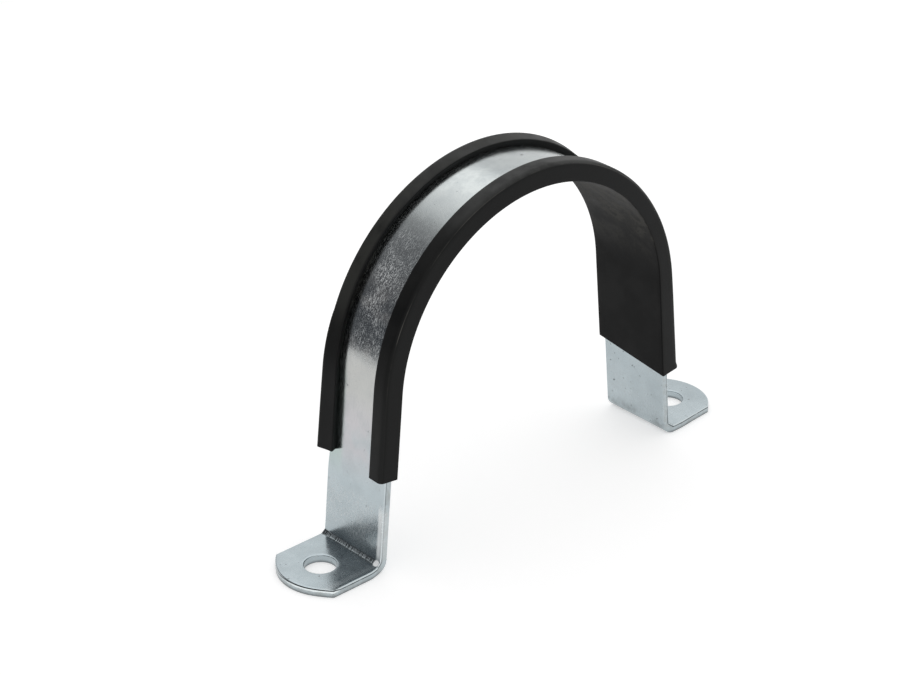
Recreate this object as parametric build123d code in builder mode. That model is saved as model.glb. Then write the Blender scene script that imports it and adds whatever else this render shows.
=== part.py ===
"""Rubber lined saddle clamp for a pipe: a folded steel band in a rubber channel.

Units are millimetres. +X runs from foot to foot, +Y along the pipe and +Z up. The origin is on
the surface the feet stand on, midway between them.
"""
from build123d import *
from math import cos, radians, sin
import os

# The pipe, whose underside touches the surface that the feet stand on
pipe_diameter = 84.0

# The band: one strip of sheet, rolled over the pipe, with a foot folded out at each end
band_width = 20.0
band_thickness = 2.0
band_edge_round = 0.5
leg_splay = 5.0
fold_radius = 1.0

# The feet, each with a bolt hole and a rounded end, measured from where the fold ends
fold_to_hole = 9.2
hole_to_foot_end = 9.6
foot_end_radius = 12.5
foot_corner_round = 0.6
hole_diameter = 8.4
hole_rim_round = 0.3

# The liner: a channel that wraps the band's edges, with a lip along each
liner_base = 0.8
liner_side_wall = 1.3
liner_side_lean = 3.3
liner_lip_height = 2.4
liner_lip_reach = 3.2
liner_corner_round = 1.2

# How far the liner runs down each leg from the arch, and how squarely it was cut off there
left_run = 21.1
left_cut_angle = 2.0
right_run = 25.9
right_cut_angle = 8.0

# The band's inner face: an arch over the pipe, legs that lean outwards, and folds into the feet
arch_centre_height = pipe_diameter / 2
arch_radius = pipe_diameter / 2 + liner_base
splay_cos = cos(radians(leg_splay))
splay_sin = sin(radians(leg_splay))
leg_top = arch_centre_height + arch_radius * splay_sin
fold_outer_radius = fold_radius + band_thickness
fold_angle = 90 - leg_splay
fold_rise = fold_outer_radius * (1 - splay_sin)
leg_length = (leg_top - fold_rise) / splay_cos
fold_end = (arch_radius + fold_outer_radius) * splay_cos + leg_length * splay_sin
foot_length = fold_to_hole + hole_to_foot_end
foot_span = 2 * (fold_end + foot_length)
hole_spacing = 2 * (fold_end + fold_to_hole)

# Drawn as a side view, with Y for height
with BuildLine() as inner_line:
    left_foot = Line((-foot_span / 2, 0), (-fold_end, 0))
    left_fold = JernArc(left_foot @ 1, left_foot % 1, fold_outer_radius, fold_angle)
    left_leg = PolarLine(left_fold @ 1, leg_length, direction=left_fold % 1)
    arch = JernArc(left_leg @ 1, left_leg % 1, arch_radius, -2 * fold_angle)
    right_leg = PolarLine(arch @ 1, leg_length, direction=arch % 1)
    right_fold = JernArc(right_leg @ 1, right_leg % 1, fold_outer_radius, fold_angle)
    PolarLine(right_fold @ 1, foot_length, direction=right_fold % 1)


def is_on_outer_face(edge):
    """True for an edge that lies a whole thickness out from the band's inner face."""
    middle = edge @ 0.5
    return inner_line.wire().distance_to(Vector(middle.X, middle.Z)) > 0.99 * band_thickness


# Band: the side view thickened outwards, its ends rounded, and its outer edges rolled over
with BuildPart() as strap:
    with BuildSketch(Plane.XZ):
        with BuildLine():
            add(inner_line.line)
            offset(amount=band_thickness, side=Side.LEFT)
        make_face()
    extrude(amount=band_width / 2, both=True)

    foot_arc_centre = foot_span / 2 - foot_end_radius
    with BuildSketch() as outline_from_above:
        Rectangle(2 * foot_arc_centre, band_width)
        with Locations((foot_arc_centre, 0), (-foot_arc_centre, 0)):
            Circle(foot_end_radius)
        Rectangle(foot_span, band_width, mode=Mode.INTERSECT)
        fillet(outline_from_above.vertices(), foot_corner_round)
    extrude(amount=arch_centre_height + arch_radius + band_thickness, mode=Mode.INTERSECT)

    outer_edges = strap.edges().filter_by(is_on_outer_face)
    fillet(outer_edges - outer_edges.filter_by(Axis.Y), band_edge_round)

    # Bolt holes, punched from above, which draws their upper rims down
    with Locations((hole_spacing / 2, 0, band_thickness), (-hole_spacing / 2, 0, band_thickness)):
        Hole(hole_diameter / 2, depth=band_thickness)
    hole_rims = strap.edges().filter_by(GeomType.CIRCLE).filter_by(
        lambda edge: edge.radius == hole_diameter / 2
    )
    fillet(hole_rims.group_by(Axis.Z)[-1], hole_rim_round)
strap.part.label = "strap"

# Liner: its section turned over the arch and run down both legs, then cut off
liner_width = band_width + 2 * liner_side_wall
liner_thickness = liner_base + band_thickness + liner_lip_height
lip_gap = band_width - 2 * liner_lip_reach


def leg_plane(side, run=0.0):
    """Plane across a leg, +1 right or -1 left, at a run down it from the arch.

    Its origin is on the band's inner face. X runs across the band, Y out through it, Z down it.
    """
    across = Vector(0, side, 0)
    down = Vector(side * splay_sin, 0, -splay_cos)
    arch_end = Vector(side * arch_radius * splay_cos, 0, leg_top)
    return Plane(origin=arch_end + down * run, x_dir=across, z_dir=down)


def liner_section(plane):
    """Section of the channel, with the slot that grips the band and the gap between its lips."""
    side_angle = 90 - liner_side_lean
    with BuildSketch(plane) as section:
        with Locations((0, -liner_base)):
            Trapezoid(liner_width, liner_thickness, side_angle, align=(Align.CENTER, Align.MIN))
        fillet(section.vertices().group_by(Axis.Y)[-1], liner_corner_round)
        Rectangle(band_width, band_thickness, align=(Align.CENTER, Align.MIN), mode=Mode.SUBTRACT)
        with Locations((0, band_thickness)):
            Rectangle(lip_gap, liner_lip_height, align=(Align.CENTER, Align.MIN), mode=Mode.SUBTRACT)
    return section.sketch


with BuildPart() as liner:
    arch_axis = Axis((0, 0, arch_centre_height), (0, 1, 0))
    revolve(liner_section(leg_plane(-1)), axis=arch_axis, revolution_arc=2 * fold_angle)
    for side, run, cut_angle in ((-1, left_run, left_cut_angle), (1, right_run, right_cut_angle)):
        extrude(liner_section(leg_plane(side)), amount=run + liner_width)
        # The block that is cut away starts at the knife's plane, which leans across the band
        with Locations(leg_plane(side, run).rotated((0, side * cut_angle, 0))):
            Box(
                2 * liner_width,
                2 * liner_width,
                2 * liner_width,
                align=(Align.CENTER, Align.CENTER, Align.MIN),
                mode=Mode.SUBTRACT,
            )
liner.part.label = "liner"

os.makedirs("parts", exist_ok=True)
export_step(strap.part, "parts/strap.step")
export_step(liner.part, "parts/liner.step")
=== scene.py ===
from math import asin, cos, pi, radians, sin, sqrt

import bmesh
import bpy
from mathutils import Matrix, Vector


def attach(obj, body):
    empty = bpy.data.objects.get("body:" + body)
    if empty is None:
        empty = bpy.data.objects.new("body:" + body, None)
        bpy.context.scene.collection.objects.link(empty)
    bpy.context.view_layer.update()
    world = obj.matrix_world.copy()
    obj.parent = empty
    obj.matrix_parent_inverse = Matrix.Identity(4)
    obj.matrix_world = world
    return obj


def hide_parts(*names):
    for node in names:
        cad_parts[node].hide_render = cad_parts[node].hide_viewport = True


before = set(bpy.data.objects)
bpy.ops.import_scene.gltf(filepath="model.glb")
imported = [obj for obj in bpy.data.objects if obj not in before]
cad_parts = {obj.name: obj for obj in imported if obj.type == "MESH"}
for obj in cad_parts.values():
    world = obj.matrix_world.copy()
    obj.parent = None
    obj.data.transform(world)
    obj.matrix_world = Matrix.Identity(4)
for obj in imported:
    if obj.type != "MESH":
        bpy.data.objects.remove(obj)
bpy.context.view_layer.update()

# ---------------------------------------------------------------------------------------------
# Strap. One strip of steel, blanked with rounded ends and two bolt holes, rolled to an arch,
# folded out into feet in a press, and then zinc plated. Shearing has rolled its outer edges over.
# ---------------------------------------------------------------------------------------------
MM = 0.001
band_width = 20.0
half_width = band_width / 2
band_thickness = 2.0
edge_rollover = 0.35
burr_round = 0.14
foot_length = 18.8
fold_to_hole = 8.9
foot_end_radius = 12.5
foot_corner_round = 0.6
hole_radius = 3.9
hole_rim_round = 0.18
arch_centre_height = 42.0
arch_radius = 42.8
fold_outer_radius = 3.0
leg_splay = radians(5.0)
fold_angle = pi / 2 - leg_splay
leg_top = arch_centre_height + arch_radius * sin(leg_splay)
leg_length = (leg_top - fold_outer_radius * (1 - sin(leg_splay))) / cos(leg_splay)
fold_end = (arch_radius + fold_outer_radius) * cos(leg_splay) + leg_length * sin(leg_splay)

# Runs along the strip, from the tip of the left foot
hole_run = foot_length - fold_to_hole
fold_start_run = foot_length
leg_start_run = fold_start_run + fold_outer_radius * fold_angle
fold_middle_run = (fold_start_run + leg_start_run) / 2
arch_start_run = leg_start_run + leg_length
crown_run = arch_start_run + arch_radius * fold_angle
hair_run = 1e-9

# How many faces the blank is divided into
across_cells = 16
foot_side_cells = 14
corner_cells = 4
tip_cells = 30
foot_rings = 8
fold_cells = 14
leg_cells = 24
half_arch_cells = 64


def bent(run, height):
    """Across and up, for a run from the tip of the left foot and a height over the inner face."""
    if run > crown_run:
        across, up = bent(2 * crown_run - run, height)
        return -across, up
    if run < fold_start_run:
        return run - fold_end - foot_length, height
    if run < leg_start_run:
        turn = (run - fold_start_run) / fold_outer_radius
        reach = fold_outer_radius - height
        return reach * sin(turn) - fold_end, fold_outer_radius - reach * cos(turn)
    if run < arch_start_run:
        across, up = bent(leg_start_run - hair_run, height)
        climb = run - leg_start_run
        return across + climb * sin(leg_splay), up + climb * cos(leg_splay)
    angle = pi - leg_splay - (run - arch_start_run) / arch_radius
    reach = arch_radius + height
    return reach * cos(angle), arch_centre_height + reach * sin(angle)


def spread(start, end, count):
    """Evenly spaced values from start up to, but without, the end."""
    return [start + (end - start) * i / count for i in range(count)]


def foot_outline():
    """Points round the flat foot from the fold, as run and across, anticlockwise."""
    centre = foot_end_radius
    inner = foot_end_radius - foot_corner_round
    corner_across = half_width - foot_corner_round
    corner_run = centre - sqrt(inner**2 - corner_across**2)
    tip_half_angle = asin(corner_across / inner)

    def corner(side, start):
        """Points round a corner of the tip, +1 at the back or -1 at the front, from an angle."""
        return [
            (
                corner_run + foot_corner_round * cos(angle),
                side * corner_across + foot_corner_round * sin(angle),
            )
            for angle in spread(start, start + pi / 2 - tip_half_angle, corner_cells)
        ]

    points = [(foot_length, across) for across in spread(-half_width, half_width, across_cells)]
    points += [(run, half_width) for run in spread(foot_length, corner_run, foot_side_cells)]
    points += corner(1, pi / 2)
    for angle in spread(pi - tip_half_angle, pi + tip_half_angle, tip_cells):
        points.append((centre + foot_end_radius * cos(angle), foot_end_radius * sin(angle)))
    points += corner(-1, pi + tip_half_angle)
    points += [(run, -half_width) for run in spread(corner_run, foot_length, foot_side_cells)]
    return points


def from_hole(run, across):
    """The way from the middle of the nearer bolt hole to a point of the blank."""
    return Vector((min(run, 2 * crown_run - run) - hole_run, across))


strap_mesh = bpy.data.meshes.new("strap_plated")
blank = bmesh.new()


def mark(run, across, far_half):
    """A point of the blank's upper face, on the near half or mirrored onto the far half."""
    return blank.verts.new((2 * crown_run - run if far_half else run, across, 0))


def panel(corners, far_half):
    """A face of the blank, turned so that it looks up on either half."""
    blank.faces.new(corners[::-1] if far_half else corners)


outline = foot_outline()
crossing = spread(-half_width, half_width, across_cells) + [half_width]
band_rows = spread(fold_start_run, leg_start_run, fold_cells)
band_rows += spread(leg_start_run, arch_start_run, leg_cells)
band_rows += spread(arch_start_run, crown_run, half_arch_cells) + [crown_run]
for far_half in (False, True):
    rings = []
    for ring in range(foot_rings + 1):
        share = ring / foot_rings
        points = []
        for run, across in outline:
            away = from_hole(run, across)
            points.append(away.normalized() * hole_radius * (1 - share) + away * share)
        rings.append([mark(point.x + hole_run, point.y, far_half) for point in points])
    for inner, outer in zip(rings, rings[1:]):
        for i in range(len(outline)):
            j = (i + 1) % len(outline)
            panel((inner[i], outer[i], outer[j], inner[j]), far_half)
    rows = [[mark(run, across, far_half) for across in crossing] for run in band_rows]
    for near, far in zip(rows, rows[1:]):
        for i in range(across_cells):
            panel((near[i], far[i], far[i + 1], near[i + 1]), far_half)
same_point = 1e-5
bmesh.ops.remove_doubles(blank, verts=blank.verts, dist=same_point)

# The sheet's thickness: the same outline a thickness lower, with a wall round every edge
upper = list(blank.faces)
rim = [edge for edge in blank.edges if edge.is_boundary]
below = {}
for vertex in list(blank.verts):
    below[vertex] = blank.verts.new(vertex.co)
    vertex.co.z = band_thickness
for face in upper:
    blank.faces.new([below[v] for v in reversed(face.verts)])
for edge in rim:
    loop = edge.link_loops[0]
    first, second = loop.vert, loop.link_loop_next.vert
    blank.faces.new((second, first, below[first], below[second]))

nearly_square = 0.3
nearly_level = 0.7
hole_margin = 0.2


def rim_edges(at_top, round_hole):
    """The edges where the walls meet the upper or lower face, at the outline or at a hole."""
    found = []
    for edge in blank.edges:
        if len(edge.link_faces) != 2:
            continue
        a, b = (face.normal for face in edge.link_faces)
        middle = (edge.verts[0].co + edge.verts[1].co) / 2
        is_rim = abs(a.dot(b)) < nearly_square and abs(a.z) + abs(b.z) > nearly_level
        is_upper = middle.z > band_thickness / 2
        is_at_hole = from_hole(middle.x, middle.y).length < hole_radius + hole_margin
        if is_rim and is_upper == at_top and is_at_hole == round_hole:
            found.append(edge)
    return found


for at_top, round_hole, size, steps in (
    (True, False, edge_rollover, 5),
    (False, False, burr_round, 2),
    (True, True, hole_rim_round, 3),
    (False, True, burr_round, 2),
):
    blank.normal_update()
    bmesh.ops.bevel(
        blank,
        geom=rim_edges(at_top, round_hole),
        offset=size,
        offset_type="OFFSET",
        segments=steps,
        profile=0.5,
        affect="EDGES",
    )


def eased(value, low, high):
    """A smooth rise from 0 to 1 while the value goes from low to high."""
    share = min(1.0, max(0.0, (value - low) / (high - low)))
    return share * share * (3 - 2 * share)


def held(run, start, full, fading, end):
    """A share that rises from 0 at start to 1 at full, and falls from 1 at fading to 0 at end."""
    return eased(run, start, full) * (1 - eased(run, fading, end))


# How far the press has spread the sheet's edges sideways, or drawn them in
left_front_spread = 0.78
left_back_foot_spread = 0.45
left_back_leg_spread = 0.3
right_front_draw = 0.4
right_front_spread = 0.65
right_back_spread = 0.6


def squeezed_out(run, across, at_left):
    """How far the press has moved a point sideways, at a run from the nearer tip."""
    share = (abs(across) / half_width) ** 3
    if at_left and across < 0:
        return -left_front_spread * share * held(run, 1.0, 5.5, 16.0, 20.5)
    if at_left:
        past_fold = eased(run, 17.5, 21.0)
        most = left_back_foot_spread * (1 - past_fold) + left_back_leg_spread * past_fold
        return most * share * held(run, 1.0, 5.5, 40.0, 44.5)
    if across < 0:
        drawn_in = right_front_draw * (1 - eased(run, 3.0, 10.0))
        return share * (drawn_in - right_front_spread * held(run, 8.0, 17.0, 18.5, 23.0))
    return right_back_spread * share * held(run, 1.0, 5.0, 10.0, 16.0)


# The press also squeezes the metal out a little at both ends of each fold
bulge_height = 0.3
bulge_half_run = 2.4
bulge_start = 7.4
bulge_width = 2.6
bulge_floor = 1.2

# What the finish needs to know at each point: its place on the flat sheet, how far up the
# sheet's edge it is, from 0 to 1, and how far it is from the middle of a fold, from -1 to 1
flat_map_scale = 10 * MM
fold_zone = 4.0
bore_margin = 0.02
flat_map = blank.loops.layers.uv.new("flat_sheet")
sheet_height = blank.verts.layers.float.new("sheet_height")
fold_offset = blank.verts.layers.float.new("from_fold")
for face in blank.faces:
    for loop in face.loops:
        loop[flat_map].uv = loop.vert.co.xy * flat_map_scale
    face.smooth = True
for vertex in blank.verts:
    run, across, height = vertex.co
    near_run = min(run, 2 * crown_run - run)
    # The punch leaves a clean bore, without the painted highlight and the dark line of the outer
    # edges
    in_bore = from_hole(run, across).length < hole_radius + hole_rim_round + bore_margin
    vertex[sheet_height] = 1.0 if in_bore else height / band_thickness
    across += squeezed_out(near_run, across, run < crown_run)
    to_fold = near_run - fold_middle_run
    vertex[fold_offset] = max(-1.0, min(1.0, to_fold / fold_zone))
    near_end = max(0.0, (abs(across) - bulge_start) / bulge_width)
    if height > bulge_floor and abs(to_fold) < bulge_half_run:
        height += bulge_height * near_end**2 * cos(to_fold / bulge_half_run * pi / 2)
    x, z = bent(run, height)
    vertex.co = Vector((x, across, z)) * MM
blank.to_mesh(strap_mesh)
blank.free()


def put_in_scene(name, data):
    """A new object in the scene, at the origin."""
    thing = bpy.data.objects.new(name, data)
    bpy.context.scene.collection.objects.link(thing)
    return thing


strap = put_in_scene("strap_plated", strap_mesh)
weighted = strap.modifiers.new("even_shading", "WEIGHTED_NORMAL")
weighted.keep_sharp = False


def place(tree, kind, inputs=None, **settings):
    """A node in a tree, with its settings made, and its inputs set or joined to sockets."""
    node = tree.nodes.new(kind)
    for name, value in settings.items():
        setattr(node, name, value)
    for name, value in (inputs or {}).items():
        if isinstance(value, bpy.types.NodeSocket):
            tree.links.new(value, node.inputs[name])
        else:
            node.inputs[name].default_value = value
    return node


def reckon(tree, operation, *values):
    """The result of one step of arithmetic on sockets or numbers."""
    inputs = dict(enumerate(values))
    return place(tree, "ShaderNodeMath", inputs, operation=operation).outputs[0]


def ramp(tree, value, low, high, bottom=0.0, top=1.0):
    """A smooth rise from bottom to top while the value goes from low to high."""
    inputs = {"Value": value, 1: low, 2: high, 3: bottom, 4: top}
    node = place(tree, "ShaderNodeMapRange", inputs, interpolation_type="SMOOTHSTEP")
    return node.outputs[0]


def threshold(tree, value, most, span, share, edge):
    """Where a noise is over most - span * share, with an edge of this width above that."""
    low = reckon(tree, "SUBTRACT", most, reckon(tree, "MULTIPLY", share, span))
    return ramp(tree, value, low, reckon(tree, "ADD", low, edge))


def blend(tree, share, first, second):
    """A colour between two colours."""
    inputs = {0: share, 6: first, 7: second}
    return place(tree, "ShaderNodeMix", inputs, data_type="RGBA").outputs[2]


def group(name, inputs, outputs):
    """An empty shader node group with named inputs, as {name: (type, value)}, and outputs."""
    tree = bpy.data.node_groups.new(name, "ShaderNodeTree")
    for label, (kind, value) in inputs.items():
        socket = tree.interface.new_socket(label, in_out="INPUT", socket_type=kind)
        if value is not None:
            socket.default_value = value
    for label in outputs:
        tree.interface.new_socket(label, in_out="OUTPUT", socket_type="NodeSocketFloat")
    return tree, tree.nodes.new("NodeGroupInput").outputs, tree.nodes.new("NodeGroupOutput")


# Patches: a soft-edged mask for stains, scuffs and changes of tone
patches, given, result = group(
    "patches",
    {
        "Vector": ("NodeSocketVector", None),
        "Size": ("NodeSocketFloat", 0.01),
        "Cover": ("NodeSocketFloat", 0.5),
        "Softness": ("NodeSocketFloat", 0.1),
        "Stream": ("NodeSocketFloat", 0.0),
    },
    ["Mask"],
)
cloud = place(
    patches,
    "ShaderNodeTexNoise",
    {
        "Vector": given["Vector"],
        "W": given["Stream"],
        "Scale": reckon(patches, "DIVIDE", 1.0, given["Size"]),
        "Detail": 4.0,
        "Roughness": 0.6,
    },
    noise_dimensions="4D",
)
cloud_most = 0.8
cloud_span = 0.6
covered = reckon(patches, "MULTIPLY", given["Cover"], cloud_span)
middle = reckon(patches, "SUBTRACT", cloud_most, covered)
patches.links.new(
    ramp(
        patches,
        cloud.outputs[0],
        reckon(patches, "SUBTRACT", middle, given["Softness"]),
        reckon(patches, "ADD", middle, given["Softness"]),
    ),
    result.inputs["Mask"],
)

# Grain: the fine tooth of a surface, as a height, with specks that stand out of it
grain, given, result = group(
    "grain",
    {
        "Vector": ("NodeSocketVector", None),
        "Size": ("NodeSocketFloat", 0.0005),
        "Speck share": ("NodeSocketFloat", 0.5),
    },
    ["Height", "Specks"],
)
tooth = place(
    grain,
    "ShaderNodeTexNoise",
    {
        "Vector": given["Vector"],
        "Scale": reckon(grain, "DIVIDE", 1.0, given["Size"]),
        "Detail": 2.0,
        "Roughness": 0.6,
    },
)
grain.links.new(tooth.outputs[0], result.inputs["Height"])
speck_stream = 7.0
finer = place(
    grain,
    "ShaderNodeTexNoise",
    {
        "Vector": given["Vector"],
        "W": speck_stream,
        "Scale": reckon(grain, "DIVIDE", 1.0, given["Size"]),
        "Detail": 1.5,
        "Roughness": 0.7,
    },
    noise_dimensions="4D",
)
specks = threshold(
    grain, finer.outputs[0], most=0.72, span=0.35, share=given["Speck share"], edge=0.08
)
grain.links.new(specks, result.inputs["Specks"])

# Scratches: short fine lines, as a mask
scratches, given, result = group(
    "scratches",
    {
        "Vector": ("NodeSocketVector", None),
        "Pitch": ("NodeSocketFloat", 0.0005),
        "Stretch": ("NodeSocketFloat", 12.0),
        "Cover": ("NodeSocketFloat", 0.1),
    },
    ["Mask"],
)
shrink = reckon(scratches, "DIVIDE", 1.0, given["Stretch"])
shrunk = place(scratches, "ShaderNodeCombineXYZ", {"X": shrink, "Y": 1.0, "Z": 1.0})
stretched = place(
    scratches,
    "ShaderNodeVectorMath",
    {0: given["Vector"], 1: shrunk.outputs[0]},
    operation="MULTIPLY",
)
lines = place(
    scratches,
    "ShaderNodeTexNoise",
    {
        "Vector": stretched.outputs[0],
        "Scale": reckon(scratches, "DIVIDE", 1.0, given["Pitch"]),
        "Detail": 1.0,
    },
)
scratch_lines = threshold(
    scratches, lines.outputs[0], most=0.85, span=0.4, share=given["Cover"], edge=0.05
)
scratches.links.new(scratch_lines, result.inputs["Mask"])


def apply_group(tree, which, **inputs):
    """A placed node group with its inputs given by name, an underscore standing for a space."""
    node = tree.nodes.new("ShaderNodeGroup")
    node.node_tree = which
    for name, value in inputs.items():
        socket = node.inputs[name.replace("_", " ")]
        if isinstance(value, bpy.types.NodeSocket):
            tree.links.new(value, socket)
        else:
            socket.default_value = value
    return node.outputs


def cleared_tree(owner):
    """The node tree of a new material or world, emptied."""
    owner.use_nodes = True
    owner.node_tree.nodes.clear()
    return owner.node_tree


# Zinc plate: pale grey, bluer down the legs, cloudy where the bath and the rolls left it so. On
# the shoulders of the arch it is frosted with duller crystals, which show where it mirrors dark.
zinc = bpy.data.materials.new("zinc_plate")
tree = cleared_tree(zinc)
on_object = tree.nodes.new("ShaderNodeTexCoord").outputs["Object"]
split = place(tree, "ShaderNodeSeparateXYZ", {0: on_object}).outputs
flat = place(tree, "ShaderNodeUVMap", uv_map="flat_sheet").outputs[0]
height = place(tree, "ShaderNodeAttribute", attribute_name="sheet_height").outputs["Fac"]
from_fold = place(tree, "ShaderNodeAttribute", attribute_name="from_fold").outputs["Fac"]


# These build on whatever tree and Object coordinates the material being made has at the time
def both(*masks):
    """The part that masks have in common."""
    common = masks[0]
    for mask in masks[1:]:
        common = reckon(tree, "MULTIPLY", common, mask)
    return common


def strongest(*masks):
    """The strongest of some masks at each point."""
    most = masks[0]
    for mask in masks[1:]:
        most = reckon(tree, "MAXIMUM", most, mask)
    return most


def summed(*values):
    """Values added together."""
    total = values[0]
    for value in values[1:]:
        total = reckon(tree, "ADD", total, value)
    return total


def graded(mask, bottom, top=1.0):
    """A value that goes from bottom to top as the mask goes from 0 to 1."""
    return ramp(tree, mask, 0.0, 1.0, bottom, top)


def between(value, low, high, edge):
    """A mask of the values from low to high, with a soft edge inside each."""
    return both(
        ramp(tree, value, low, low + edge),
        ramp(tree, value, high - edge, high, 1.0, 0.0),
    )


def within(axis, low, high, edge):
    """A mask of what lies between two places along an axis in mm, with a soft edge inside each."""
    return between(split[axis], low * MM, high * MM, edge * MM)


def along(axis, low, high, bottom=0.0, top=1.0):
    """A smooth rise from bottom to top between two places along an axis, in mm."""
    return ramp(tree, split[axis], low * MM, high * MM, bottom, top)


def patched(size, cover, softness, stream):
    """A mask of soft-edged patches of about this size in mm, a different set for each stream."""
    return apply_group(
        tree,
        patches,
        Vector=on_object,
        Size=size * MM,
        Cover=cover,
        Softness=softness,
        Stream=stream,
    )["Mask"]


def tinted(colour, tint, *masks):
    """A colour with a tint laid over it, as strongly as the masks and numbers say together."""
    return blend(tree, both(*masks), colour, tint)


def scratched(pitch, stretch, cover):
    """A mask of fine lines along the strip, a pitch in mm apart."""
    return apply_group(
        tree,
        scratches,
        Vector=flat,
        Pitch=pitch * flat_map_scale,
        Stretch=stretch,
        Cover=cover,
    )["Mask"]


bath_grey = (0.40, 0.46, 0.485, 1)
bath_pale = (0.45, 0.51, 0.535, 1)
leg_grey = (0.47, 0.475, 0.462, 1)
shoulder_grey = (0.445, 0.475, 0.475, 1)
rosy_grey = (0.53, 0.50, 0.52, 1)
greenish_grey = (0.40, 0.50, 0.465, 1)
crown_pale = (0.52, 0.55, 0.545, 1)
haunch_dark = (0.28, 0.31, 0.32, 1)
mottle_dark = (0.18, 0.205, 0.22, 1)
cloud_grey = (0.36, 0.39, 0.40, 1)
blotch_grey = (0.30, 0.335, 0.35, 1)
pit_dark = (0.13, 0.14, 0.145, 1)
cloudy = patched(11, 0.5, 0.14, 3)
colour = blend(tree, cloudy, bath_grey, bath_pale)
colour = tinted(colour, leg_grey, along("Z", 26, 44))
colour = tinted(colour, shoulder_grey, along("Z", 62, 74))
colour = tinted(colour, rosy_grey, within("Z", 19, 44, 10), patched(12, 0.62, 0.14, 9), 0.7)
back_edge = along("Y", 4.5, 6.5)
greenish = both(within("Z", 18, 52, 8), back_edge, patched(9, 0.8, 0.2, 15))
colour = tinted(colour, greenish_grey, greenish, 0.7)
colour = tinted(colour, crown_pale, within("X", -19.5, -4, 4.5), along("Z", 78, 83), 0.85)
colour = tinted(colour, haunch_dark, within("Z", 51, 64, 6), 0.9)
colour = tinted(colour, mottle_dark, within("Z", 50, 70, 6), patched(5, 0.5, 0.09, 91), 0.75)
colour = tinted(colour, cloud_grey, along("Z", 82.5, 85), patched(4.2, 0.46, 0.09, 97), 0.45)
colour = tinted(colour, blotch_grey, patched(4.5, 0.4, 0.12, 31), 0.2)
colour = tinted(colour, pit_dark, patched(1.3, 0.2, 0.02, 5), 0.7)

# Along its edges the rolled-over rounding is painted pale as its highlight, above a thin dark line
# in patches and a duller cut face. At the front of the left foot's tip the painted highlight
# reaches further down and the dark line lies higher.
edge_highlight_white = (0.84, 0.90, 0.91, 1)
dark_line_colour = (0.03, 0.037, 0.04, 1)
cut_grey = (0.30, 0.31, 0.295, 1)
floor_shade_dark = (0.12, 0.13, 0.135, 1)
tip_lift = 0.14
at_tip = both(along("X", -62.8, -60.8, 1.0, 0.0), along("Y", -4, 6, 1.0, 0.0))
# Painted highlight: the rolled-over rounding of the edges is coloured near white
painted_edge_highlight = strongest(
    both(between(height, 0.83, 0.998, 0.05), along("Z", 2, 8, 0.35, 0.2)),
    both(between(height, 0.58, 0.95, 0.05), at_tip, 0.95),
)
colour = tinted(colour, edge_highlight_white, painted_edge_highlight)
dark_line_height = reckon(tree, "SUBTRACT", height, both(at_tip, tip_lift))
# A thin dark line in patches, just below the pale band of the rounding
dark_line_mask = both(
    between(dark_line_height, 0.68, 0.85, 0.05),
    along("Z", 2, 8, 1.0, 0.6),
    graded(patched(1.6, 0.7, 0.14, 51), 0.35),
)
colour = tinted(colour, dark_line_colour, dark_line_mask)
cut_face = both(between(height, 0.05, 0.72, 0.04), patched(1.4, 0.5, 0.15, 55))
colour = tinted(colour, cut_grey, cut_face, 0.45)
# Painted shade: the sheet's lowest millimetre, next to the floor, is darkened
colour = tinted(colour, floor_shade_dark, along("Z", 0.1, 0.9, 0.75, 0.0))

# Both sides of each fold's crease are painted darker as shade, and the crease itself darker still.
# The right leg's inner face, which lay on the press tool, is smudged near the floor and nicked.
crease_shade_dark = (0.10, 0.115, 0.12, 1)
smudge_grey = (0.20, 0.225, 0.23, 1)
nick_dark = (0.09, 0.10, 0.105, 1)
crease_shade_black = (0.05, 0.06, 0.065, 1)
ticks_per_metre = 2900.0
ticks = place(
    tree,
    "ShaderNodeTexNoise",
    {"W": both(split["Y"], ticks_per_metre), "Scale": 1.0, "Detail": 1.0},
    noise_dimensions="1D",
).outputs[0]
off_centre = reckon(tree, "ABSOLUTE", from_fold)
on_top = ramp(tree, height, 0.9, 0.95)
in_crease = both(on_top, ramp(tree, off_centre, 0.25, 0.45, 1.0, 0.0))
# Painted shade on both sides of each crease
painted_crease_shade = both(on_top, between(off_centre, 0.22, 0.62, 0.14))
colour = tinted(colour, crease_shade_dark, painted_crease_shade, 0.75)
right_inside = both(along("X", 0, 1), ramp(tree, height, 0.1, 0.3, 1.0, 0.0))
smudged = both(right_inside, along("Z", 2, 5.5, 1.0, 0.0), patched(3.2, 0.5, 0.10, 71))
colour = tinted(colour, smudge_grey, smudged, 0.55)
colour = tinted(colour, nick_dark, right_inside, patched(1.7, 0.22, 0.015, 77), 0.75)
# Painted shade in the crease itself, broken where the ticks are
colour = tinted(colour, crease_shade_black, in_crease, ramp(tree, ticks, 0.43, 0.55, 0.97, 0.1))


def near_to(across, low, high):
    """A round mask about the bottom of the left fold, at a place across the band in mm."""
    x, z = bent(fold_middle_run, band_thickness)
    spot = Vector((x, across, z)) * MM
    away = place(tree, "ShaderNodeVectorMath", {0: on_object, 1: spot}, operation="DISTANCE")
    return ramp(tree, away.outputs["Value"], low * MM, high * MM, 1.0, 0.0)


# The press tool has printed a row of small bright ticks along each crease. The left fold gets a
# painted highlight along its front edge, a painted glint at the crease's front end and painted
# shade at its back end
front_highlight_white = (0.93, 0.97, 0.98, 1)
tick_grey = (0.45, 0.50, 0.52, 1)
glint_white = (0.97, 0.99, 1.0, 1)
back_end_shade_black = (0.045, 0.052, 0.056, 1)
# Painted shade at the back end of the left fold's crease
colour = tinted(colour, back_end_shade_black, near_to(9.7, 0.4, 1.2), 0.9)
# Painted glint at the front end of the left fold's crease
painted_fold_glint = near_to(-9.0, 0.70, 1.10)
on_left = along("X", -1, 1, 1.0, 0.0)
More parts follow.
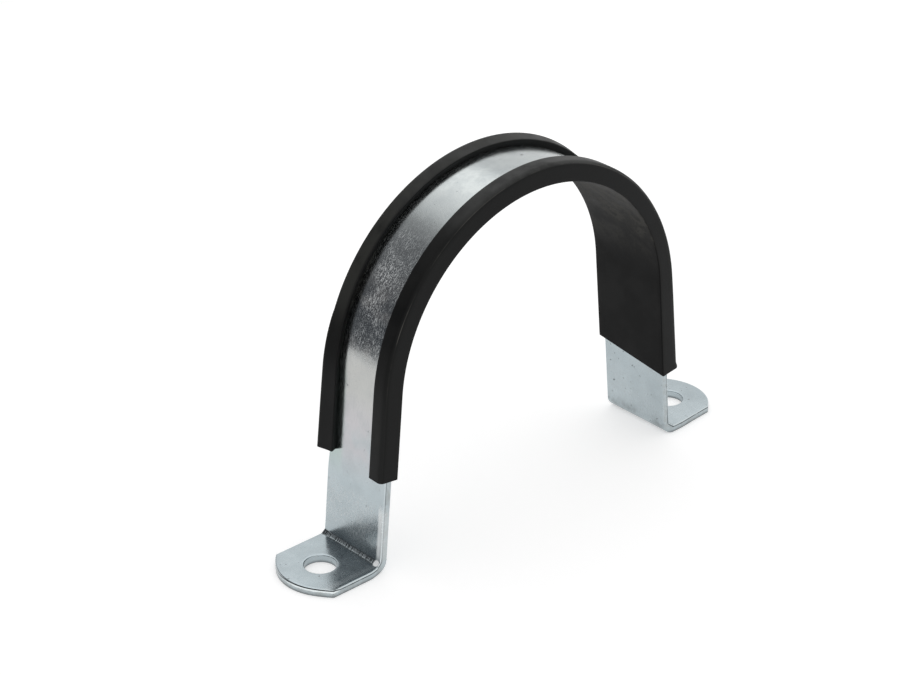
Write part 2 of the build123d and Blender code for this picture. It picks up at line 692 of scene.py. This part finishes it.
# Painted highlight along the left leg's front edge, low down
painted_front_highlight = both(within("Y", -10.3, -8, 0.9), within("Z", 1, 18, 4), on_left)
colour = tinted(colour, front_highlight_white, painted_front_highlight, 0.95)
ticked = both(in_crease, ramp(tree, ticks, 0.44, 0.56))
colour = tinted(colour, tick_grey, ticked, 0.6)
colour = tinted(colour, glint_white, painted_fold_glint)

# The frost of crystals lowers the metallic value, so that it shows only in dark reflections. It
# is thick on the shoulders, thinner over the folds, and a little of it lies everywhere.
frost_grey = (0.72, 0.74, 0.75, 1)
frost_everywhere = 0.14
toothed = apply_group(tree, grain, Vector=on_object, Size=0.29 * MM, Speck_share=0.53)
coarser = apply_group(tree, grain, Vector=on_object, Size=0.8 * MM, Speck_share=0.5)
rolled_lines = scratched(0.4, 14.0, 0.5)
scored = both(scratched(0.24, 5.0, 0.7), graded(patched(6, 0.55, 0.1, 83), 0.3, 1.3))
off_middle = reckon(tree, "ABSOLUTE", split["Y"])
shoulder = both(
    within("Z", 45, 81, 8),
    along("Z", 56, 66, 0.72, 1.0),
    graded(patched(8, 0.6, 0.16, 40), 0.35),
    ramp(tree, off_middle, 3.6 * MM, 6.8 * MM, 1.0, 0.08),
)
over_crease = both(within("Z", 2, 20, 6), ramp(tree, height, 0.4, 0.6, 0.1, 0.5))
frosted = summed(toothed["Specks"], both(coarser["Specks"], 0.15))
frosted = strongest(both(frosted, 0.8), scored)
frosted = both(
    reckon(tree, "MINIMUM", frosted, 1.0),
    strongest(shoulder, over_crease, frost_everywhere),
)
colour = tinted(colour, frost_grey, frosted, 0.8)
hazy = both(within("Z", 1.2, 16, 5), along("X", -1, 1, 0.16, 0.0))
dull = strongest(
    both(frosted, 0.8),
    both(painted_fold_glint, 0.95),
    both(painted_front_highlight, 0.85),
    both(ticked, 0.35),
    hazy,
)
metallic = reckon(tree, "SUBTRACT", 1.0, dull)
low_down = along("Z", 10, 26, 0.05, 0.0)
dullness = summed(both(frosted, 0.12), both(rolled_lines, 0.05), low_down)
roughness = summed(graded(cloudy, 0.15, 0.21), dullness)

# Relief: the crystals, the raised ticks, and the long waves that rolling and pressing have left
tick_relief = 3.0
wavy = place(
    tree,
    "ShaderNodeTexNoise",
    {"Vector": on_object, "Scale": 140.0, "Detail": 1.0, "Roughness": 0.4},
).outputs[0]
relief = summed(
    toothed["Height"],
    both(coarser["Height"], 0.8),
    both(ticked, reckon(tree, "SUBTRACT", tick_relief, both(painted_fold_glint, tick_relief))),
    both(wavy, along("Z", 10, 30, 14.0, 5.0)),
)
fine_bump = place(
    tree,
    "ShaderNodeBump",
    {"Strength": 0.2, "Distance": 0.06 * MM, "Height": relief},
)
shader = place(
    tree,
    "ShaderNodeBsdfPrincipled",
    {
        "Base Color": colour,
        "Metallic": metallic,
        "Roughness": roughness,
        "Normal": fine_bump.outputs[0],
    },
)
place(tree, "ShaderNodeOutputMaterial", {"Surface": shader.outputs[0]})
strap_mesh.materials.append(zinc)
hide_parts("strap")
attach(strap, "root")

# ---------------------------------------------------------------------------------------------
# Liner. A channel of extruded rubber, cut to length with a knife and pushed on over the band.
# It wraps both edges of the band with a lip, and grips by its own spring, without glue.
# ---------------------------------------------------------------------------------------------
liner_tree = bpy.data.node_groups.new("lay_channel", "GeometryNodeTree")
liner_sizes = {
    "Band width": band_width * MM,
    "Band thickness": band_thickness * MM,
    "Base": 0.8 * MM,
    "Side wall": 1.3 * MM,
    "Side lean": radians(3.3),
    "Lip height": 2.4 * MM,
    "Lip reach": 3.2 * MM,
    "Outer corner": 1.2 * MM,
    "Back outer corner": 0.7 * MM,
    "Back lip sag": 0.75 * MM,
    "Back lip undercut": 0.7 * MM,
    "Small corner": 0.3 * MM,
    "Arch radius": arch_radius * MM,
    "Arch height": arch_centre_height * MM,
    "Arch angle": 2 * fold_angle,
    "Left run": 21.1 * MM,
    "Right run": 25.9 * MM,
    "Left cut": radians(2.0),
    "Right cut": radians(8.0),
    "Row pitch": 0.5 * MM,
    "Left flare": 0.55 * MM,
    "Left flare reach": 34.0 * MM,
    "Right flare": 0.4 * MM,
    "Right flare reach": 30.0 * MM,
    "Right nub": 0.35 * MM,
    "Shoulder sag": 0.45 * MM,
}
liner_tree.interface.new_socket("Mesh", in_out="OUTPUT", socket_type="NodeSocketGeometry")
liner_inputs = {}
for label in (*liner_sizes, "Rubber"):
    kind = "NodeSocketMaterial" if label == "Rubber" else "NodeSocketFloat"
    socket = liner_tree.interface.new_socket(label, in_out="INPUT", socket_type=kind)
    liner_inputs[label] = socket.identifier
given = liner_tree.nodes.new("NodeGroupInput").outputs
result = liner_tree.nodes.new("NodeGroupOutput")


def lay(kind, inputs=None, **settings):
    """A node of the channel's tree."""
    return place(liner_tree, kind, inputs, **settings)


def step(operation, *values):
    """The result of one step of arithmetic in the channel's tree."""
    return reckon(liner_tree, operation, *values)


def product(first, *others):
    """Values multiplied together."""
    for value in others:
        first = step("MULTIPLY", first, value)
    return first


def rise(length, low, high):
    """A smooth rise from 0 to 1 while a length goes from low to high, in mm."""
    return ramp(liner_tree, length, low * MM, high * MM)


def fall(length, low, high):
    """A smooth fall from 1 to 0 while a length goes from low to high, in mm."""
    return step("SUBTRACT", 1.0, rise(length, low, high))


def arrow(operation, inputs):
    """The node for one step of arithmetic on places and directions."""
    return lay("ShaderNodeVectorMath", inputs, operation=operation)


def keep(mesh, name, value, kind="FLOAT"):
    """The mesh or curve with a value kept at each of its points, under a name."""
    inputs = {"Geometry": mesh.outputs[0], "Name": name, "Value": value}
    return lay("GeometryNodeStoreNamedAttribute", inputs, data_type=kind, domain="POINT")


# The section's corners, from the back of the base round both lips to the front of the base, as
# across the band, out from its inner face, and how much each corner is rounded. The back lip
# has sagged, so that its top slopes in towards the band and its inner wall is undercut.
half_band = step("DIVIDE", given["Band width"], 2.0)
half_base = step("ADD", half_band, given["Side wall"])
lip_rise = step("ADD", given["Band thickness"], given["Lip height"])
wall_height = step("ADD", lip_rise, given["Base"])
half_top = step("SUBTRACT", half_base, product(wall_height, step("TANGENT", given["Side lean"])))
half_gap = step("SUBTRACT", half_band, given["Lip reach"])
foot_of_wall = product(given["Base"], -1.0)
back_gap = step("ADD", half_gap, step("DIVIDE", given["Back lip undercut"], 2.0))
back_foot = step("ADD", back_gap, given["Back lip undercut"])
back_top = step("SUBTRACT", lip_rise, given["Back lip sag"])
corners = [
    (half_base, foot_of_wall, given["Small corner"]),
    (half_top, lip_rise, given["Back outer corner"]),
    (back_gap, back_top, given["Small corner"]),
    (back_foot, given["Band thickness"], 0.0),
    (half_band, given["Band thickness"], 0.0),
    (half_band, 0.0, 0.0),
    (half_band, 0.0, 0.0),
    (half_band, given["Band thickness"], 0.0),
    (half_gap, given["Band thickness"], 0.0),
    (half_gap, lip_rise, given["Small corner"]),
    (half_top, lip_rise, given["Outer corner"]),
    (half_base, foot_of_wall, given["Small corner"]),
]
rounding_steps = 6
last_back_corner = len(corners) / 2 - 0.5
index = lay("GeometryNodeInputIndex").outputs[0]
is_front = step("GREATER_THAN", index, last_back_corner)
side = step("SUBTRACT", 1.0, product(is_front, 2.0))


def by_corner(column):
    """The value that the corner of this number has in a column of the table of corners."""
    switch = lay("GeometryNodeIndexSwitch", data_type="FLOAT")
    while len(switch.index_switch_items) < len(corners):
        switch.index_switch_items.new()
    liner_tree.links.new(index, switch.inputs[0])
    for number, row in enumerate(corners):
        if isinstance(row[column], bpy.types.NodeSocket):
            liner_tree.links.new(row[column], switch.inputs[number + 1])
        else:
            switch.inputs[number + 1].default_value = row[column]
    return switch.outputs[0]


corner_place = lay(
    "ShaderNodeCombineXYZ",
    {"X": product(by_corner(0), side), "Y": by_corner(1), "Z": 0.0},
)
section = lay("GeometryNodeMeshLine", {"Count": len(corners)}, mode="OFFSET")
section = lay("GeometryNodeMeshToCurve", {"Mesh": section.outputs[0]})
section = lay(
    "GeometryNodeSetPosition",
    {"Geometry": section.outputs[0], "Position": corner_place.outputs[0]},
)
section = lay("GeometryNodeSetSplineCyclic", {"Geometry": section.outputs[0], "Cyclic": True})
section = lay(
    "GeometryNodeFilletCurve",
    {
        "Curve": section.outputs[0],
        "Count": rounding_steps,
        "Radius": by_corner(2),
        "Limit Radius": True,
    },
    mode="POLY",
)

# The long flats of the section are divided, so that they can bend where a lip springs or sags
flat_pitch = 0.9 * MM
place_now = lay("GeometryNodeInputPosition").outputs[0]
point_count = lay(
    "GeometryNodeAttributeDomainSize", {"Geometry": section.outputs[0]}, component="CURVE"
).outputs["Point Count"]
next_place = lay(
    "GeometryNodeFieldAtIndex",
    {"Value": place_now, "Index": step("MODULO", step("ADD", index, 1.0), point_count)},
    data_type="FLOAT_VECTOR",
).outputs[0]
flat_length = arrow("DISTANCE", {0: place_now, 1: next_place}).outputs["Value"]
section = lay(
    "GeometryNodeSubdivideCurve",
    {
        "Curve": section.outputs[0],
        "Cuts": step("FLOOR", step("DIVIDE", flat_length, flat_pitch)),
    },
)

# The line it is laid along: up the left leg, over the arch and down the right leg
arch_length = product(given["Arch radius"], given["Arch angle"])
whole_run = step("ADD", step("ADD", given["Left run"], arch_length), given["Right run"])
row_count = step("CEIL", step("DIVIDE", whole_run, given["Row pitch"]))
run = product(step("DIVIDE", index, step("SUBTRACT", row_count, 1.0)), whole_run)
past_left = step("SUBTRACT", run, given["Left run"])
turned = step("MAXIMUM", step("DIVIDE", past_left, given["Arch radius"]), 0.0)
turned = step("MINIMUM", turned, given["Arch angle"])
straight = step("SUBTRACT", past_left, product(turned, given["Arch radius"]))
half_turn = step("DIVIDE", given["Arch angle"], 2.0)
bearing = step("SUBTRACT", step("ADD", half_turn, pi / 2), turned)
cosine = step("COSINE", bearing)
sine = step("SINE", bearing)
line_across = step("ADD", product(given["Arch radius"], cosine), product(straight, sine))
line_up = step(
    "SUBTRACT",
    step("ADD", given["Arch height"], product(given["Arch radius"], sine)),
    product(straight, cosine),
)
line_place = lay("ShaderNodeCombineXYZ", {"X": line_across, "Y": 0.0, "Z": line_up})
line_way = lay("ShaderNodeCombineXYZ", {"X": sine, "Y": 0.0, "Z": product(cosine, -1.0)})
line = lay("GeometryNodeMeshLine", {"Count": row_count}, mode="OFFSET")
line = lay("GeometryNodeMeshToCurve", {"Mesh": line.outputs[0]})
line = lay(
    "GeometryNodeSetPosition",
    {"Geometry": line.outputs[0], "Position": line_place.outputs[0]},
)
line = lay(
    "GeometryNodeSetCurveNormal",
    {"Curve": line.outputs[0], "Normal": (0.0, 1.0, 0.0)},
    mode="FREE",
)
line = keep(line, "run", run)
line = keep(line, "lengthwise", line_way.outputs[0], "FLOAT_VECTOR")
swept = lay(
    "GeometryNodeCurveToMesh",
    {"Curve": line.outputs[0], "Profile Curve": section.outputs[0], "Fill Caps": True},
)

# The knife went through askew at both ends, so the straight runs are drawn out by a slant
kept_run = lay("GeometryNodeInputNamedAttribute", {"Name": "run"}, data_type="FLOAT").outputs[0]
lengthwise = lay(
    "GeometryNodeInputNamedAttribute", {"Name": "lengthwise"}, data_type="FLOAT_VECTOR"
).outputs[0]
across = lay("ShaderNodeSeparateXYZ", {0: place_now}).outputs["Y"]
left_share = step("DIVIDE", step("SUBTRACT", given["Left run"], kept_run), given["Left run"])
left_share = step("MAXIMUM", left_share, 0.0)
right_start = step("SUBTRACT", whole_run, given["Right run"])
right_share = step("DIVIDE", step("SUBTRACT", kept_run, right_start), given["Right run"])
right_share = step("MAXIMUM", right_share, 0.0)
slant = step(
    "SUBTRACT",
    product(across, step("TANGENT", given["Left cut"]), left_share),
    product(across, step("TANGENT", given["Right cut"]), right_share),
)
slid = arrow("SCALE", {0: lengthwise, "Scale": slant})
swept = lay("GeometryNodeSetPosition", {"Geometry": swept.outputs[0], "Offset": slid.outputs[0]})
outward = arrow("CROSS_PRODUCT", {0: lengthwise, 1: (0.0, 1.0, 0.0)}).outputs[0]


def nearness(way, reach):
    """1 at an end of the liner, going down evenly to 0 at a reach away from it."""
    return step("SUBTRACT", 1.0, step("MINIMUM", step("DIVIDE", way, reach), 1.0))


# Where it was pulled off the reel it still springs open: the back lip's outer corner at the left
# end, and the front one's at the right end, where the knife also turned up a small nub. Over the
# right shoulder the front lip has sunk a little.
flare_bow = 0.6
centre = (0.0, 0.0, arch_centre_height * MM)
from_centre = arrow("SUBTRACT", {0: place_now, 1: centre}).outputs[0]
height_out = arrow("DOT_PRODUCT", {0: from_centre, 1: outward}).outputs["Value"]
height_out = step("SUBTRACT", height_out, given["Arch radius"])
high_up = rise(height_out, 1.2, 4.2)
to_front = product(across, -1.0)
from_right = step("SUBTRACT", whole_run, kept_run)
to_left = step("POWER", nearness(kept_run, given["Left flare reach"]), flare_bow)
to_right = nearness(from_right, given["Right flare reach"])
nub = product(given["Right nub"], fall(from_right, 0.3, 1.5))
back_corner = product(rise(across, 8.0, 10.8), high_up)
front_corner = product(rise(to_front, 8.0, 10.8), high_up)
front_lip = product(rise(to_front, 5.0, 6.6), high_up)
over_shoulder = product(rise(kept_run, 84.0, 112.0), fall(kept_run, 124.0, 157.0))
left_out = product(given["Left flare"], to_left, back_corner)
right_out = step("ADD", product(given["Right flare"], to_right), nub)
right_out = product(right_out, front_corner)
sagged = product(given["Shoulder sag"], over_shoulder, front_lip)
moved_out = step("SUBTRACT", step("ADD", left_out, right_out), sagged)
sprung_out = arrow("SCALE", {0: outward, "Scale": moved_out})
sprung_aside = lay("ShaderNodeCombineXYZ", {"X": 0.0, "Y": left_out, "Z": 0.0})
sprung = arrow("ADD", {0: sprung_out.outputs[0], 1: sprung_aside.outputs[0]})
swept = lay("GeometryNodeSetPosition", {"Geometry": swept.outputs[0], "Offset": sprung.outputs[0]})

# The rubber is painted darker inside the arch as shade, and coloured apart on top of the lips, so
# both are kept
inward_limit = -0.6
normal_now = lay("GeometryNodeInputNormal").outputs[0]
facing = arrow("DOT_PRODUCT", {0: normal_now, 1: outward}).outputs["Value"]
swept = keep(swept, "inside_arch", step("LESS_THAN", facing, inward_limit))
swept = keep(swept, "lip_top", ramp(liner_tree, facing, 0.3, 0.75))
swept = lay("GeometryNodeRealizeInstances", {"Geometry": swept.outputs[0]})
swept = lay(
    "GeometryNodeSetMaterial",
    {"Geometry": swept.outputs[0], "Material": given["Rubber"]},
)
liner_tree.links.new(swept.outputs[0], result.inputs[0])

# Black rubber: dull and nearly black, with a fine tooth and a painted highlight line along its
# outer edges
rubber = bpy.data.materials.new("black_rubber")
tree = cleared_tree(rubber)
on_object = tree.nodes.new("ShaderNodeTexCoord").outputs["Object"]
split = place(tree, "ShaderNodeSeparateXYZ", {0: on_object}).outputs
inward = place(tree, "ShaderNodeAttribute", attribute_name="inside_arch").outputs["Fac"]
lip_top = place(tree, "ShaderNodeAttribute", attribute_name="lip_top").outputs["Fac"]
fresh_black = (0.0062, 0.0066, 0.0068, 1)
faded_black = (0.0105, 0.0107, 0.0105, 1)
inner_shade_black = (0.0010, 0.0011, 0.0012, 1)
cloudy = patched(12, 0.5, 0.16, 1)
colour = blend(tree, cloudy, fresh_black, faded_black)
# Painted shade: every face inside the arch is made nearly black
colour = tinted(colour, inner_shade_black, inward)

# Dust and a painted sheen lie on top of the lips over the crown, the lips' ends are worn, and the
# back lip has been handled from its shoulders up. Inside the arch are dusty scuffs, where a pipe
# has rubbed.
dust_and_sheen_grey = (0.055, 0.056, 0.055, 1)
worn_grey = (0.0165, 0.017, 0.017, 1)
handled_grey = (0.036, 0.0365, 0.0335, 1)
scuff_grey = (0.043, 0.0415, 0.0375, 1)
edge_gloss_grey = (0.075, 0.072, 0.066, 1)
spot_black = (0.006, 0.006, 0.006, 1)
# Dust on the lips over the crown, brightened into a painted sheen, strongest towards the right
dust_and_sheen_mask = summed(both(patched(7, 0.5, 0.12, 4), 0.5), 0.3)
dust_and_sheen_mask = both(dust_and_sheen_mask, along("Z", 78, 88.5), along("X", -10, 16, 1.0, 2.2), lip_top)
colour = tinted(colour, dust_and_sheen_grey, dust_and_sheen_mask)
colour = tinted(colour, worn_grey, along("Z", 40, 52, 0.8, 0.0), lip_top)
handled = both(patched(10, 0.55, 0.12, 61), along("Y", 7.2, 8.0))
handled = both(handled, along("Z", 52, 66, 0.0, 0.8), lip_top)
colour = tinted(colour, handled_grey, handled)
rubbed = both(
    patched(9, 0.55, 0.08, 12),
    graded(patched(2.8, 0.5, 0.09, 27), 0.25),
    along("Z", 48, 62),
    along("Z", 74, 82, 1.0, 0.15),
    inward,
)
colour = tinted(colour, scuff_grey, rubbed)
off_middle = reckon(tree, "ABSOLUTE", split["Y"])
# Painted highlight: a thin pale line along the lips' outer rounding
painted_edge_gloss = both(
    between(off_middle, 10.80 * MM, 10.95 * MM, 0.05 * MM),
    patched(14, 0.42, 0.12, 33),
    reckon(tree, "SUBTRACT", 1.0, inward),
    along("Z", 44, 56, 0.1, 1.0),
)
colour = tinted(colour, edge_gloss_grey, painted_edge_gloss)
colour = tinted(colour, spot_black, patched(2.2, 0.22, 0.04, 21), 0.8, rubbed)
toothed = apply_group(tree, grain, Vector=on_object, Size=0.4 * MM)
fine_bump = place(
    tree,
    "ShaderNodeBump",
    {"Strength": 0.5, "Distance": 0.05 * MM, "Height": toothed["Height"]},
)
roughness = summed(graded(cloudy, 0.44, 0.54), both(rubbed, 0.12))
shader = place(
    tree,
    "ShaderNodeBsdfPrincipled",
    {
        "Base Color": colour,
        "Roughness": roughness,
        "Specular IOR Level": 0.11,
        "Normal": fine_bump.outputs[0],
    },
)
place(tree, "ShaderNodeOutputMaterial", {"Surface": shader.outputs[0]})

sharp_angle = radians(50)
holder = put_in_scene("channel_holder", bpy.data.meshes.new("channel_holder"))
laying = holder.modifiers.new("lay_channel", "NODES")
laying.node_group = liner_tree
for label, value in liner_sizes.items():
    laying[liner_inputs[label]] = value
laying[liner_inputs["Rubber"]] = rubber
bpy.context.view_layer.update()
laid = holder.evaluated_get(bpy.context.evaluated_depsgraph_get())
liner_mesh = bpy.data.meshes.new_from_object(laid)
bpy.data.objects.remove(holder)
liner_mesh.name = "liner_rubber"
liner_mesh.set_sharp_from_angle(angle=sharp_angle)
liner_mesh.polygons.foreach_set("use_smooth", [True] * len(liner_mesh.polygons))
liner = put_in_scene("liner_rubber", liner_mesh)
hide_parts("liner")
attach(liner, "root")

# ---------------------------------------------------------------------------------------------
# Studio. A pale table under a wide soft light. A dark card stands round its back left, out of
# sight, so that the metal has something dark to mirror.
# ---------------------------------------------------------------------------------------------
table_radius = 0.36
table_sides = 96
floor_white = (0.8, 0.8, 0.8, 1)
floor_lift = 0.45
floor_mesh = bpy.data.meshes.new("studio_floor")
disc = bmesh.new()
bmesh.ops.create_circle(disc, cap_ends=True, segments=table_sides, radius=table_radius)
disc.to_mesh(floor_mesh)
disc.free()
floor = put_in_scene("studio_floor", floor_mesh)
floor_paint = bpy.data.materials.new("pale_floor")
tree = cleared_tree(floor_paint)


def straight_sight():
    """1 for what the camera sees directly, in a reflection or through glass, and 0 for light."""
    rays = tree.nodes.new("ShaderNodeLightPath").outputs
    return strongest(rays["Is Camera Ray"], rays["Is Glossy Ray"], rays["Is Transmission Ray"])


matte = place(tree, "ShaderNodeBsdfDiffuse", {"Color": floor_white})
lift = place(
    tree,
    "ShaderNodeEmission",
    {"Color": (1, 1, 1, 1), "Strength": both(straight_sight(), floor_lift)},
)
lifted = place(tree, "ShaderNodeAddShader", {0: matte.outputs[0], 1: lift.outputs[0]})
place(tree, "ShaderNodeOutputMaterial", {"Surface": lifted.outputs[0]})
floor_mesh.materials.append(floor_paint)

# The card curves round the table's left and back, and thins away towards its right edge and top
card_radius = 0.33
card_height = 0.62
card_from = radians(-118)
card_to = radians(22)
card_fade = radians(58)
card_columns = 48
card_rows = 16
card_fade_rows = 5
card_dark = (0.17, 0.17, 0.18, 1)
card_mesh = bpy.data.meshes.new("studio_card")
card_form = bmesh.new()
card_share = card_form.verts.layers.float.new("card_cover")
columns = []
for i in range(card_columns + 1):
    turn = card_from + (card_to - card_from) * i / card_columns
    foot = Vector((sin(turn), cos(turn), 0)) * card_radius
    levels = [card_height * k / card_rows for k in range(card_rows + 1)]
    columns.append([card_form.verts.new(foot + Vector((0, 0, level))) for level in levels])
for i, column in enumerate(columns):
    to_right_edge = (card_columns - i) / card_columns * (card_to - card_from)
    for k, vertex in enumerate(column):
        right_fade = min(1.0, to_right_edge / card_fade)
        top_fade = min(1.0, (card_rows - k) / card_fade_rows)
        vertex[card_share] = right_fade * top_fade
for first, second in zip(columns, columns[1:]):
    for k in range(card_rows):
        card_form.faces.new((first[k], second[k], second[k + 1], first[k + 1]))
card_form.to_mesh(card_mesh)
card_form.free()
card = put_in_scene("studio_card", card_mesh)
card.visible_camera = False
card.visible_diffuse = False
card.visible_shadow = False
card.visible_transmission = False
card_paint = bpy.data.materials.new("dark_card")
tree = cleared_tree(card_paint)
card_cover = place(tree, "ShaderNodeAttribute", attribute_name="card_cover").outputs["Fac"]
dark = place(tree, "ShaderNodeEmission", {"Color": card_dark, "Strength": 1.0})
clear = tree.nodes.new("ShaderNodeBsdfTransparent")
faded = place(
    tree,
    "ShaderNodeMixShader",
    {0: card_cover, 1: clear.outputs[0], 2: dark.outputs[0]},
)
place(tree, "ShaderNodeOutputMaterial", {"Surface": faded.outputs[0]})
card_mesh.materials.append(card_paint)

# White air, a little dimmer as light than as it looks
air_light = 0.7
world = bpy.data.worlds.new("studio_air")
tree = cleared_tree(world)
air = place(
    tree,
    "ShaderNodeBackground",
    {"Color": (1, 1, 1, 1), "Strength": graded(straight_sight(), air_light)},
)
place(tree, "ShaderNodeOutputWorld", {"Surface": air.outputs[0]})
bpy.context.scene.world = world

# The soft light hangs high over the back right of the table, and looks at its middle
light_turn = radians(28)
light_rise = radians(64)
light_distance = 0.85
soft_light = bpy.data.lights.new("soft_box", "AREA")
soft_light.shape = "SQUARE"
soft_light.size = 0.8
soft_light.energy = 1.0
light_level = cos(light_rise)
light_way = Vector((sin(light_turn) * light_level, cos(light_turn) * light_level, sin(light_rise)))
soft_box = put_in_scene("soft_box", soft_light)
soft_box.location = light_way * light_distance
soft_box.rotation_euler = light_way.to_track_quat("Z", "Y").to_euler()

# The camera, turned 42 degrees round from the front, looking down on the clamp from the left
camera_place = Vector((-0.407919, -0.432656, 0.362341))
turn = radians(42.077)
dip = radians(-28.390)
roll = radians(-0.131)
forward = Vector((sin(turn) * cos(dip), cos(turn) * cos(dip), sin(dip)))
level_right = Vector((cos(turn), -sin(turn), 0))
level_up = level_right.cross(forward)
right = level_right * cos(roll) + level_up * sin(roll)
up = level_up * cos(roll) - level_right * sin(roll)
lens = bpy.data.cameras.new("camera")
lens.sensor_width = 36
lens.lens = 112.985
lens.clip_start = 0.01
lens.clip_end = 20
camera = put_in_scene("camera", lens)
pose = Matrix((right, up, -forward)).transposed().to_4x4()
pose.translation = camera_place
camera.matrix_world = pose
bpy.context.scene.camera = camera
bpy.context.scene.view_settings.view_transform = "Standard"
